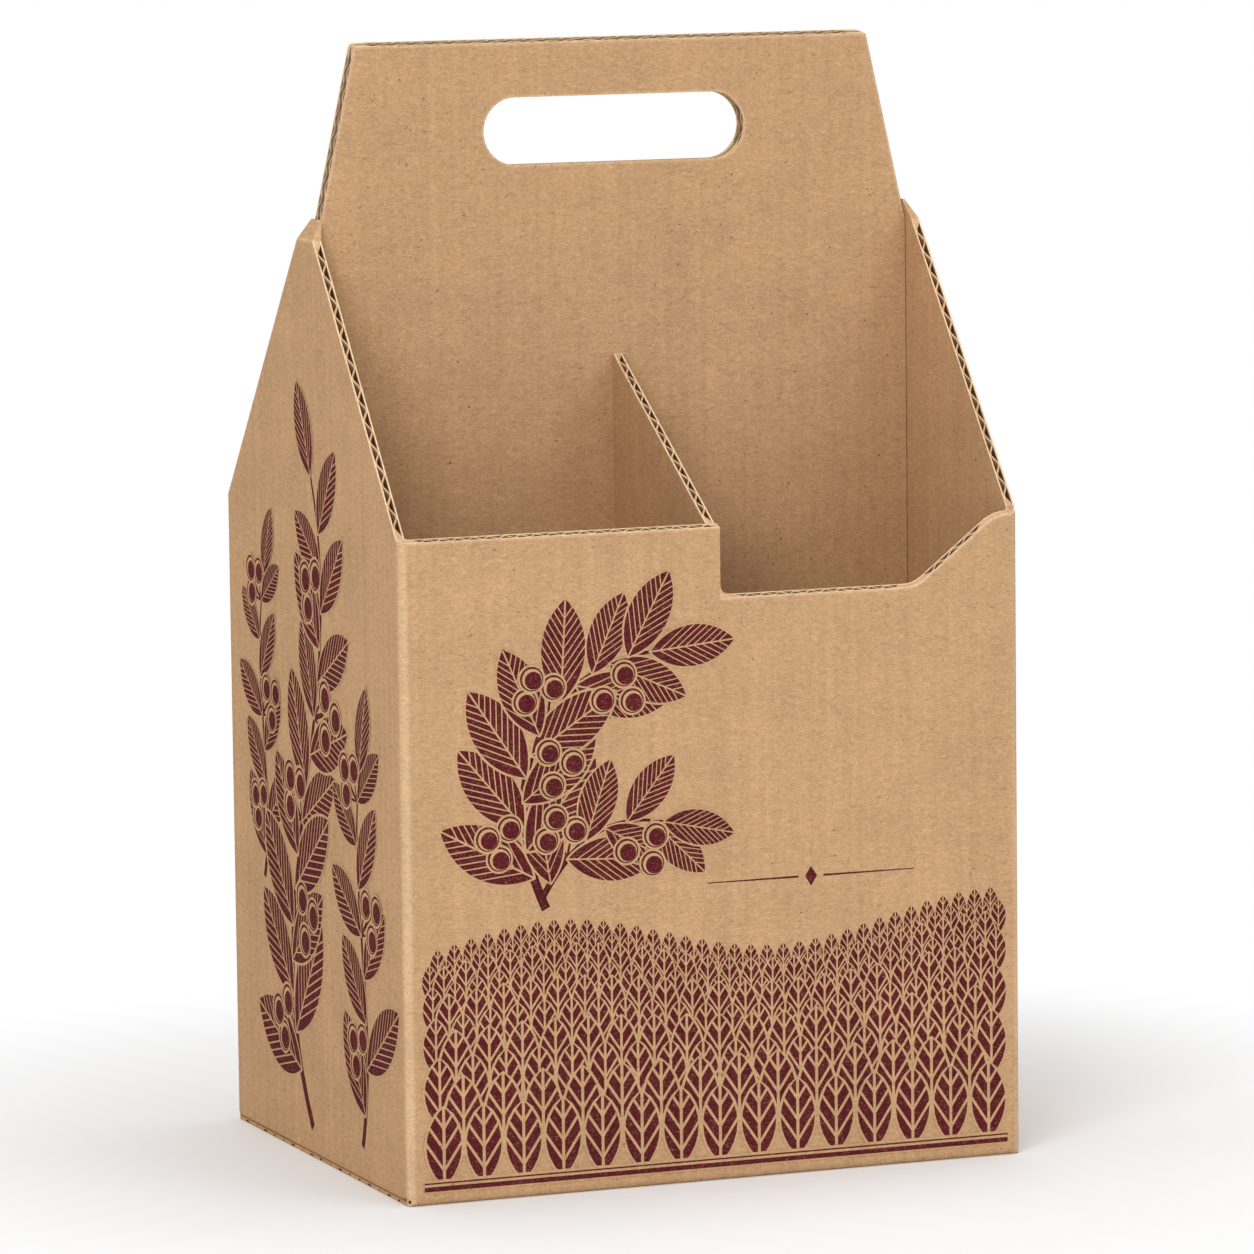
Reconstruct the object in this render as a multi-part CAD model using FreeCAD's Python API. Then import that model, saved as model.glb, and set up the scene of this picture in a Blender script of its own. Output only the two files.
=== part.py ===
import FreeCAD, Part
import math
import os

# A carry box of corrugated board with four cells: one folded outer sheet with gabled sides,
# a two-ply handle panel across its middle and a divider from front to back.
# X runs across the front, Y from front to back and Z up. The origin is at the middle of the base.
# All driving dimensions are in millimetres.

# Outer sheet: each rise is measured up from the level named before it.
# The cut edges of the walls and the handle lean down to the outside by their edge drop.
body_width = 210.0
body_depth = 168.0
front_wall_top = 209.0
gable_rise = 88.0
shoulder_flat = 15.0
board = 3.0
corner_inner_radius = 0.6
wall_edge_drop = 1.0

# Window in the front wall, over the right-hand cell
window_left = 2.0
window_depth = 22.5
window_corner_radius = 4.5
window_right_margin = 8.0
window_rise_angle = 38.0
window_lower_round = 10.0
window_upper_round = 14.0
window_right_drop = 0.8

# Short tabs that close the side walls over the handle panel's shoulders
shoulder_tab_rise = 6.5
shoulder_tab_tip = 0.8
shoulder_tab_taper = 3.8

# Bottom flaps: the front and back ones lie outside, the side ones on top of them
base_fold_lip = 0.4
side_fold_radius = 1.2
side_flap_gap = 46.0
pressed_thickness = 1.2
pressed_length = 19.0
flap_meeting_gap = 1.0
flap_corner_slot = 5.5
flap_end_inset = 0.4
flap_corner_radius = 3.0
rolled_fold_wall = 0.95

# Glued side seam, inside the left wall at the back
seam_tab_width = 30.0
seam_tab_margin = 14.0
seam_groove_width = 0.5
seam_groove_depth = 0.6

# Handle panel
handle_rise = 62.0
handle_top_width = 176.0
handle_corner_radius = 2.0
handle_edge_drop = 1.2
grip_width = 90.0
grip_height = 21.6
grip_below_top = 29.4

# Divider
divider_rise = 48.0
lap_height = 128.0

# Clearances
layer_gap = 0.1
ply_gap = 0.2
panel_side_clearance = 0.3
divider_end_clearance = 0.3
lap_clearance = 0.25
shoulder_tab_clearance = 0.3

# Corrugation seen at the cut edges
liner = 0.5
medium = 0.35
flute_levels = (0.97, 0.6, -0.85)
outer_flute_pitch = 5.2
panel_flute_pitch = 6.4
panel_side_pitch = 7.4
flute_depth = 5.0
flute_end_margin = 1.6
flute_uneven = 0.09
crushed_flute_pitch = 9.0
crushed_flute_width = 3.4
crushed_flute_liner = 0.3
crushed_flute_depth = 2.5

# Overlength of the cutting shapes past the faces that they cut
overcut = 2.0

# Sizes that follow from the driving dimensions
half_width = body_width / 2.0
half_depth = body_depth / 2.0
inner_half_width = half_width - board
inner_half_depth = half_depth - board
corner_radius = corner_inner_radius + board
shoulder_top = front_wall_top + gable_rise
handle_top = shoulder_top + handle_rise
divider_top = front_wall_top + divider_rise
front_right_top = front_wall_top - window_right_drop
window_bottom = front_wall_top - window_depth
window_rise = (front_right_top - window_bottom) / math.tan(math.radians(window_rise_angle))
window_rise_end = half_width - window_right_margin
window_flat_end = window_rise_end - window_rise
base_fold_radius = board - base_fold_lip
base_flap_top = board
side_flap_bottom = base_flap_top + layer_gap
side_flap_top = side_flap_bottom + board
side_fold_bottom = pressed_thickness + layer_gap
side_flap_half = half_depth - flap_corner_slot
panel_half_width = inner_half_width - panel_side_clearance
panel_bottom = side_flap_top + layer_gap
panel_half_thickness = ply_gap / 2.0 + board
grip_centre = handle_top - grip_below_top
divider_bottom = base_flap_top + layer_gap
divider_half_depth = inner_half_depth - divider_end_clearance
panel_slot_half = board / 2.0 + lap_clearance
wall_edge_slope = wall_edge_drop / board
handle_edge_slope = handle_edge_drop / (2.0 * panel_half_thickness)
divider_slot_half = panel_half_thickness + lap_clearance


def on_front(y):
    """Places a drawing of (x, z) points in the upright plane at this y."""
    return lambda u, v: FreeCAD.Vector(u, y, v)


def on_side(x):
    """Places a drawing of (y, z) points in the upright plane at this x."""
    return lambda u, v: FreeCAD.Vector(x, u, v)


def on_level(z):
    """Places a drawing of (x, y) points in the level plane at this z."""
    return lambda u, v: FreeCAD.Vector(u, v, z)


def corner_round(before, corner, after, radius):
    """Start, middle and end of the arc that rounds one corner of an outline."""
    back = (before - corner).normalize()
    ahead = (after - corner).normalize()
    half_angle = back.getAngle(ahead) / 2.0
    setback = radius / math.tan(half_angle)
    inward = (back + ahead).normalize()
    crown = radius / math.sin(half_angle) - radius
    return corner + back * setback, corner + inward * crown, corner + ahead * setback


def outline_face(corners, place):
    """Face of an outline given as (u, v) or (u, v, radius) corners."""
    flat = [FreeCAD.Vector(corner[0], corner[1], 0) for corner in corners]
    runs = []
    edges = []
    for index, corner in enumerate(corners):
        radius = corner[2] if len(corner) > 2 else 0.0
        here = flat[index]
        if radius == 0.0:
            runs.append((here, here))
            continue
        after = flat[(index + 1) % len(flat)]
        start, crown, end = corner_round(flat[index - 1], here, after, radius)
        runs.append((start, end))
        arc = Part.Arc(*[place(point.x, point.y) for point in (start, crown, end)])
        edges.append(arc.toShape())
    for index, run in enumerate(runs):
        start = runs[index - 1][1]
        end = run[0]
        edges.append(Part.LineSegment(place(start.x, start.y), place(end.x, end.y)).toShape())
    return Part.Face(Part.Wire(Part.__sortEdges__(edges)))


def slab(corners, place, thickness):
    """Solid of an outline swept straight along the thickness vector."""
    return outline_face(corners, place).extrude(thickness)


def box_between(low, high):
    """Box from its lowest to its highest corner."""
    size = [top - bottom for bottom, top in zip(low, high)]
    return Part.makeBox(size[0], size[1], size[2], FreeCAD.Vector(*low))


def rounded_rectangle(half_x, half_y, radius, bottom, top):
    """Upright block with a rounded rectangle as its plan."""
    corners = [(-half_x, -half_y, radius), (half_x, -half_y, radius)]
    corners += [(half_x, half_y, radius), (-half_x, half_y, radius)]
    return slab(corners, on_level(bottom), FreeCAD.Vector(0, 0, top - bottom))


def panel_half_width_at(height):
    """Half width of the handle panel at a height above the shoulders."""
    share = (height - shoulder_top) / (handle_top - shoulder_top)
    return panel_half_width + share * (handle_top_width / 2.0 - panel_half_width)


def flute_void(middle, side, pitch):
    """Corners of one open space between the wavy medium and a liner, along and across the edge."""
    reach = (board - medium) / 2.0 - liner
    right = []
    for level in flute_levels:
        wave = pitch / (2.0 * math.pi) * math.acos(-level)
        right.append((max(wave - medium / 2.0, medium / 4.0), side * (level * reach + medium / 2.0)))
    left = [(-along, across) for along, across in reversed(right)]
    return [(middle + along, across) for along, across in right + left]


def flute_pockets(start, end, across, inward, pitch):
    """Open flute ends along a cut edge whose mid line runs from start to end."""
    run = end - start
    along = FreeCAD.Vector(run).normalize()
    usable = run.Length - 2.0 * flute_end_margin
    count = max(int(usable / pitch * 2.0), 1)
    first = (run.Length - (count - 1) * pitch / 2.0) / 2.0
    lift = FreeCAD.Vector(inward).normalize() * overcut
    pockets = []
    for index in range(count):
        side = 1.0 if index % 2 == 0 else -1.0
        middle = first + index * pitch / 2.0 + flute_uneven * math.sin(index * 2.4)
        corners = flute_void(middle, side, pitch)
        points = [start - lift + along * u + across * v for u, v in corners]
        face = Part.Face(Part.makePolygon(points + points[:1]))
        pockets.append(face.extrude(inward + lift))
    return pockets


def fold_tube():
    """Four upright walls with rounded corner folds."""
    outside = rounded_rectangle(half_width, half_depth, corner_radius, base_fold_radius, shoulder_top)
    inside = rounded_rectangle(
        inner_half_width, inner_half_depth, corner_inner_radius, base_fold_radius, shoulder_top
    )
    return outside.cut(inside)


def gable_trim():
    """Space above the walls: nearly level over the front and back, sloping up both ways at the sides."""
    high = shoulder_top + overcut
    far = half_depth + overcut
    flat = shoulder_flat / 2.0
    corners = [
        (-far, front_wall_top - wall_edge_slope * (far - inner_half_depth)),
        (-inner_half_depth, front_wall_top),
        (-flat, shoulder_top),
        (-flat, high),
        (-far, high),
    ]
    across = FreeCAD.Vector(body_width + 2.0 * overcut, 0, 0)
    front = slab(corners, on_side(-half_width - overcut), across)
    return front, front.mirror(FreeCAD.Vector(0, 0, 0), FreeCAD.Vector(0, 1, 0))


def window_trim():
    """Space of the front window, with a square left side and a soft rise to the right."""
    high = shoulder_top + overcut
    right = half_width + overcut
    sunk = wall_edge_slope * (board + overcut)
    corners = [
        (window_left, high),
        (window_left, window_bottom - sunk, window_corner_radius),
        (window_flat_end, window_bottom - sunk, window_lower_round),
        (window_rise_end, front_right_top - sunk, window_upper_round),
        (right, front_right_top - sunk),
        (right, high),
    ]
    reach = corner_radius + overcut
    inward = FreeCAD.Vector(0, reach, wall_edge_slope * reach)
    return slab(corners, on_front(-half_depth - overcut), inward)


def base_flap(side):
    """Front or back bottom flap with its fold; side is -1 at the front and 1 at the back."""
    corners = [
        (side * flap_meeting_gap / 2.0, 0.0),
        (side * half_depth, 0.0, base_fold_radius),
        (side * half_depth, base_flap_top),
        (side * inner_half_depth, base_flap_top),
        (side * flap_meeting_gap / 2.0, base_flap_top),
    ]
    reach = half_width - flap_end_inset
    flap = slab(corners, on_side(-reach), FreeCAD.Vector(2.0 * reach, 0, 0))
    return flap.common(
        rounded_rectangle(reach, half_depth, flap_corner_radius, -overcut, base_flap_top)
    )


def pressed_end_trim(side):
    """Space above a bottom flap's end where the side flap presses it thin."""
    far = half_width + overcut
    foot = half_width - pressed_length
    slope = (board - pressed_thickness) / pressed_length
    end = board - slope * (far - foot)
    corners = [
        (side * foot, base_flap_top),
        (side * far, end),
        (side * far, base_flap_top + overcut),
        (side * foot, base_flap_top + overcut),
    ]
    reach = inner_half_depth - layer_gap
    return slab(corners, on_front(-reach), FreeCAD.Vector(0, 2.0 * reach, 0))


def side_flap(side):
    """Side bottom flap with its fold, sloping up from the fold on to the front and back flaps."""
    foot = half_width - pressed_length
    corners = [
        (side * half_width, base_fold_radius + board),
        (side * half_width, side_fold_bottom, side_fold_radius),
        (side * foot, side_flap_bottom),
        (side * side_flap_gap / 2.0, side_flap_bottom),
        (side * side_flap_gap / 2.0, side_flap_top),
        (side * foot, side_flap_top),
        (side * inner_half_width, side_flap_top - board + pressed_thickness + side_fold_radius),
        (side * inner_half_width, base_fold_radius + board),
    ]
    return slab(corners, on_front(-side_flap_half), FreeCAD.Vector(0, 2.0 * side_flap_half, 0))


def crushed_flute_nicks(side):
    """Broken flute ends in the pressed edges of the front and back flaps."""
    nicks = []
    high = pressed_thickness - crushed_flute_liner
    inner = half_width - flap_end_inset - crushed_flute_depth
    outer = half_width + overcut
    count = int(2.0 * side_flap_half / crushed_flute_pitch)
    for index in range(count):
        middle = (index + 0.5) * 2.0 * side_flap_half / count - side_flap_half
        width = crushed_flute_width * (0.6 + 0.4 * math.sin(index * 2.4))
        ends = sorted((side * inner, side * outer))
        nicks.append(box_between(
            (ends[0], middle - width / 2.0, crushed_flute_liner),
            (ends[1], middle + width / 2.0, high),
        ))
    return nicks


def rolled_fold_holes():
    """Small open rolls at the ends of the front and back bottom folds."""
    holes = []
    for end in (-1, 1):
        for side in (-1, 1):
            centre = side * (half_depth - board / 2.0)
            start = FreeCAD.Vector(end * (half_width + overcut), centre, board / 2.0)
            length = overcut + flap_end_inset + flute_depth
            inward = FreeCAD.Vector(-end, 0, 0)
            radius = board / 2.0 - rolled_fold_wall
            holes.append(Part.makeCylinder(radius, length, start, inward))
    return holes


def seam_tab():
    """Glued tab that runs on from the back wall inside the left wall."""
    low = (
        -inner_half_width + layer_gap,
        inner_half_depth - seam_tab_width,
        side_flap_top + seam_tab_margin,
    )
    high = (
        -inner_half_width + layer_gap + board,
        inner_half_depth + layer_gap,
        front_wall_top - seam_tab_margin,
    )
    return box_between(low, high)


def seam_groove():
    """Cut edge of the left wall, seen as a line on the back at its left corner."""
    left = -half_width + corner_radius
    return box_between(
        (left, half_depth - seam_groove_depth, base_fold_radius + board),
        (left + seam_groove_width, half_depth + overcut, front_wall_top + overcut),
    )


def shoulder_tab(side):
    """Tab that leans from a side wall's top against the panel's shoulder and narrows upwards."""
    top = shoulder_top + shoulder_tab_rise
    inner_top = panel_half_width_at(top) + shoulder_tab_clearance
    corners = [
        (side * half_width, shoulder_top),
        (side * (inner_top + shoulder_tab_tip), top),
        (side * inner_top, top),
        (side * inner_half_width, shoulder_top),
    ]
    flat = shoulder_flat / 2.0
    tip = flat - shoulder_tab_taper
    tab = slab(corners, on_front(-flat), FreeCAD.Vector(0, shoulder_flat, 0))
    front_view = [(-flat, shoulder_top), (flat, shoulder_top), (tip, top), (-tip, top)]
    across = FreeCAD.Vector(body_width + 2.0 * overcut, 0, 0)
    return tab.common(slab(front_view, on_side(-half_width - overcut), across))


def front_edge_flutes():
    """Open flutes along the front wall's top, the window's bottom and its rise."""
    middle = -half_depth + board / 2.0
    across = FreeCAD.Vector(0, 1, 0)
    down = FreeCAD.Vector(0, 0, -flute_depth)
    angle = math.radians(window_rise_angle)
    lower_setback = window_lower_round * math.tan(angle / 2.0)
    upper_setback = window_upper_round * math.tan(angle / 2.0)
    slope = (math.cos(angle), math.sin(angle))
    stretches = [
        ((-half_width + corner_radius, front_wall_top), (window_left, front_wall_top)),
        (
            (window_left + window_corner_radius, window_bottom),
            (window_flat_end - lower_setback, window_bottom),
        ),
        (
            (window_flat_end + lower_setback * slope[0], window_bottom + lower_setback * slope[1]),
            (window_rise_end - upper_setback * slope[0], front_right_top - upper_setback * slope[1]),
        ),
    ]
    pockets = []
    for low, high in stretches:
        start = FreeCAD.Vector(low[0], middle, low[1])
        end = FreeCAD.Vector(high[0], middle, high[1])
        run = end - start
        pitch = outer_flute_pitch * run.Length / run.x
        pockets += flute_pockets(start, end, across, down, pitch)
    return pockets


def back_edge_flutes():
    """Open flutes along the back wall's top."""
    middle = half_depth - board / 2.0
    reach = half_width - corner_radius
    start = FreeCAD.Vector(-reach, middle, front_wall_top)
    end = FreeCAD.Vector(reach, middle, front_wall_top)
    down = FreeCAD.Vector(0, 0, -flute_depth)
    return flute_pockets(start, end, FreeCAD.Vector(0, 1, 0), down, outer_flute_pitch)


def gable_edge_flutes(side, end):
    """Open flutes along one sloping top edge; side is left or right, end is front or back."""
    middle = side * (half_width - board / 2.0)
    start = FreeCAD.Vector(middle, end * inner_half_depth, front_wall_top)
    finish = FreeCAD.Vector(middle, end * shoulder_flat / 2.0, shoulder_top)
    run = finish - start
    pitch = outer_flute_pitch * run.Length / abs(run.y)
    down = FreeCAD.Vector(0, 0, -2.0 * flute_depth)
    return flute_pockets(start, finish, FreeCAD.Vector(1, 0, 0), down, pitch)


def outer_carton():
    """The folded outer sheet: walls, bottom flaps, seam tab and shoulder tabs in one piece."""
    walls = fold_tube().cut(list(gable_trim()) + [window_trim()])
    flaps = [base_flap(-1), base_flap(1)]
    flaps = [flap.cut([pressed_end_trim(-1), pressed_end_trim(1)]) for flap in flaps]
    pieces = flaps + [side_flap(-1), side_flap(1), shoulder_tab(-1), shoulder_tab(1), seam_tab()]
    sheet = walls.fuse(pieces).removeSplitter()
    cuts = front_edge_flutes() + back_edge_flutes()
    for side in (-1, 1):
        for end in (-1, 1):
            cuts += gable_edge_flutes(side, end)
        cuts += crushed_flute_nicks(side)
    cuts += rolled_fold_holes()
    cuts.append(seam_groove())
    return sheet.cut(cuts)


def panel_outline():
    """Outline of the handle panel: straight in the box, sloping in above the shoulders."""
    top = handle_top_width / 2.0
    return [
        (-panel_half_width, panel_bottom),
        (panel_half_width, panel_bottom),
        (panel_half_width, shoulder_top),
        (top, handle_top, handle_corner_radius),
        (-top, handle_top, handle_corner_radius),
        (-panel_half_width, shoulder_top),
    ]


def handle_top_trim():
    """Space above the panel's top edge, which leans down to the front."""
    far = panel_half_thickness + overcut
    high = handle_top + 2.0 * overcut
    corners = [
        (-far, handle_top - handle_edge_slope * (far + panel_half_thickness)),
        (far, handle_top + handle_edge_slope * (far - panel_half_thickness)),
        (far, high),
        (-far, high),
    ]
    return slab(corners, on_side(-half_width), FreeCAD.Vector(body_width, 0, 0))


def grip_hole(near, depth):
    """Space of the hand hole, with full round ends."""
    radius = grip_height / 2.0
    length = grip_width - grip_height
    low = grip_centre - radius
    block = box_between((-length / 2.0, near, low), (length / 2.0, near + depth, low + grip_height))
    ends = []
    for side in (-1, 1):
        start = FreeCAD.Vector(side * length / 2.0, near, grip_centre)
        ends.append(Part.makeCylinder(radius, depth, start, FreeCAD.Vector(0, 1, 0)))
    return block.fuse(ends)


def panel_flutes(middle):
    """Open flutes of one ply: along its top, its sloping sides and the hand hole's ends."""
    across = FreeCAD.Vector(0, 1, 0)
    down = FreeCAD.Vector(0, 0, -flute_depth)
    top = handle_top_width / 2.0
    start = FreeCAD.Vector(-top + handle_corner_radius, middle, handle_top)
    end = FreeCAD.Vector(top - handle_corner_radius, middle, handle_top)
    pockets = flute_pockets(start, end, across, down, panel_flute_pitch)
    grip_end = grip_width / 2.0
    grip_reach = grip_height / 2.0 + flute_end_margin / 2.0
    for side in (-1, 1):
        lower = FreeCAD.Vector(side * panel_half_width, middle, shoulder_top)
        upper = FreeCAD.Vector(side * top, middle, handle_top)
        rise = (upper - lower).normalize() * handle_corner_radius
        inward = FreeCAD.Vector(-side * flute_depth, 0, 0)
        pockets += flute_pockets(lower + rise, upper - rise, across, inward, panel_side_pitch)
        low = FreeCAD.Vector(side * grip_end, middle, grip_centre - grip_reach)
        high = FreeCAD.Vector(side * grip_end, middle, grip_centre + grip_reach)
        outward = FreeCAD.Vector(side * flute_depth, 0, 0)
        pockets += flute_pockets(low, high, across, outward, panel_flute_pitch)
    return pockets


def handle_ply(side):
    """One ply of the handle panel, in front of (side -1) or behind (side 1) the middle plane."""
    inner = ply_gap / 2.0
    near = min(side * inner, side * panel_half_thickness)
    ply = slab(panel_outline(), on_front(near), FreeCAD.Vector(0, board, 0))
    low = near - overcut
    depth = board + 2.0 * overcut
    slot = box_between(
        (-panel_slot_half, low, panel_bottom - overcut),
        (panel_slot_half, low + depth, lap_height + lap_clearance),
    )
    cuts = [slot, grip_hole(low, depth), handle_top_trim()]
    return ply.cut(cuts).cut(panel_flutes(near + board / 2.0))


def divider_flutes():
    """Open flutes along the divider's two sloping tops."""
    pockets = []
    for end in (-1, 1):
        start = FreeCAD.Vector(0, end * divider_half_depth, front_wall_top)
        finish = FreeCAD.Vector(0, end * divider_slot_half, divider_top)
        run = finish - start
        pitch = panel_flute_pitch * run.Length / abs(run.y)
        down = FreeCAD.Vector(0, 0, -1.4 * flute_depth)
        pockets += flute_pockets(start, finish, FreeCAD.Vector(1, 0, 0), down, pitch)
    return pockets


def cross_divider():
    """Divider from front to back, slotted from above over the handle panel."""
    corners = [
        (-divider_half_depth, divider_bottom),
        (divider_half_depth, divider_bottom),
        (divider_half_depth, front_wall_top),
        (divider_slot_half, divider_top),
        (-divider_slot_half, divider_top),
        (-divider_half_depth, front_wall_top),
    ]
    sheet = slab(corners, on_side(-board / 2.0), FreeCAD.Vector(board, 0, 0))
    slot = box_between(
        (-board, -divider_slot_half, lap_height - lap_clearance),
        (board, divider_slot_half, divider_top + overcut),
    )
    return sheet.cut(slot).cut(divider_flutes())


def write_piece(name, shape):
    """Writes one piece and prints its measures."""
    solids = shape.Solids
    piece = solids[0] if len(solids) == 1 else Part.Compound(solids)
    piece.exportStep("parts/" + name + ".step")
    print(name, len(solids), "solid", round(piece.Volume), "mm3", "valid", piece.isValid())


def main():
    os.makedirs("parts", exist_ok=True)
    write_piece("outer_carton", outer_carton())
    write_piece("handle_front_ply", handle_ply(-1))
    write_piece("handle_rear_ply", handle_ply(1))
    write_piece("cross_divider", cross_divider())


main()
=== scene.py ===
import logging
import math
from collections.abc import Iterator
from contextlib import contextmanager
from dataclasses import dataclass, field
from enum import Enum

import bpy
from bpy.types import Material, Node, NodeOutputs, NodeSocket, NodeTree, Object
from mathutils import Matrix, Vector
from mathutils.geometry import interpolate_bezier

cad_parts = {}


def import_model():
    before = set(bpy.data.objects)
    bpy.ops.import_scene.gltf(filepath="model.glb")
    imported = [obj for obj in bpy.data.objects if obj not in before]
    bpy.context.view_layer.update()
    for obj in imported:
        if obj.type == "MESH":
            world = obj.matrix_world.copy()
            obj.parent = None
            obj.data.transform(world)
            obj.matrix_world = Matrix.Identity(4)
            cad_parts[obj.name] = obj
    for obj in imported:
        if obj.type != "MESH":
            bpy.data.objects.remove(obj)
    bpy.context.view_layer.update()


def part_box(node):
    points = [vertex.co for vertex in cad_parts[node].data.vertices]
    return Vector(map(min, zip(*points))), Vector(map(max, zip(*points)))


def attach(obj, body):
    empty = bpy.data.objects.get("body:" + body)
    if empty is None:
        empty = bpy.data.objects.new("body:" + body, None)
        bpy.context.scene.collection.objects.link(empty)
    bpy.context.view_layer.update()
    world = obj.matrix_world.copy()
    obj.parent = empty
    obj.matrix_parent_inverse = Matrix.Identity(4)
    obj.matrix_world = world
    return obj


LOG = logging.getLogger("carry_box")
MM = 0.001
# How far in from a board's face a point still counts as the face, in millimetres
FACE_SKIN = 0.06
# Places of a Mix node's sockets when it mixes colours
MIX_FACTOR, MIX_FIRST, MIX_SECOND, MIX_RESULT = 0, 6, 7, 2
# Length that the pattern of a berry's twig is drawn with, in millimetres
TWIG_LENGTH = 10.0
Value = float | tuple[float, ...] | NodeSocket
Fields = tuple[Value, Value, Value, Value]
Colour = tuple[float, float, float, float]


class Wall(Enum):
    """The walls that carry print, each with the place of its drawing plane."""

    FRONT = "front"
    LEFT = "left"

    def placing(self) -> Matrix:
        """Drawing plane to wall.

        Returns:
            The matrix that takes a flat drawing, seen from outside, on to the wall.
        """
        low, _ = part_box("outer_carton")
        if self is Wall.FRONT:
            across, out, origin = Vector((1, 0, 0)), Vector((0, -1, 0)), Vector((0, low[1], 0))
        else:
            across, out, origin = Vector((0, -1, 0)), Vector((-1, 0, 0)), Vector((low[0], 0, 0))
        turn = Matrix((across, Vector((0, 0, 1)), out)).transposed().to_4x4()
        return Matrix.Translation(origin) @ turn


def select_only(*things: Object) -> None:
    """Selects these objects alone and makes the first one active.

    Args:
        things: The objects to select.
    """
    bpy.ops.object.select_all(action="DESELECT")
    for thing in things:
        thing.select_set(True)
    bpy.context.view_layer.objects.active = things[0]


@contextmanager
def edit_mode() -> Iterator[None]:
    """Opens the active mesh with all of it selected, and closes it after the block.

    Yields:
        Nothing, while the mesh is open.
    """
    bpy.ops.object.mode_set(mode="EDIT")
    bpy.ops.mesh.select_all(action="SELECT")
    yield
    bpy.ops.object.mode_set(mode="OBJECT")


def settle() -> None:
    """Puts the selected object's place, turn and size into its mesh."""
    bpy.ops.object.transform_apply(location=True, rotation=True, scale=True)


def remove(thing: Object) -> None:
    """Deletes a helper object with its mesh.

    Args:
        thing: The object to delete.
    """
    mesh = thing.data
    bpy.data.objects.remove(thing)
    bpy.data.meshes.remove(mesh)


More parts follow.
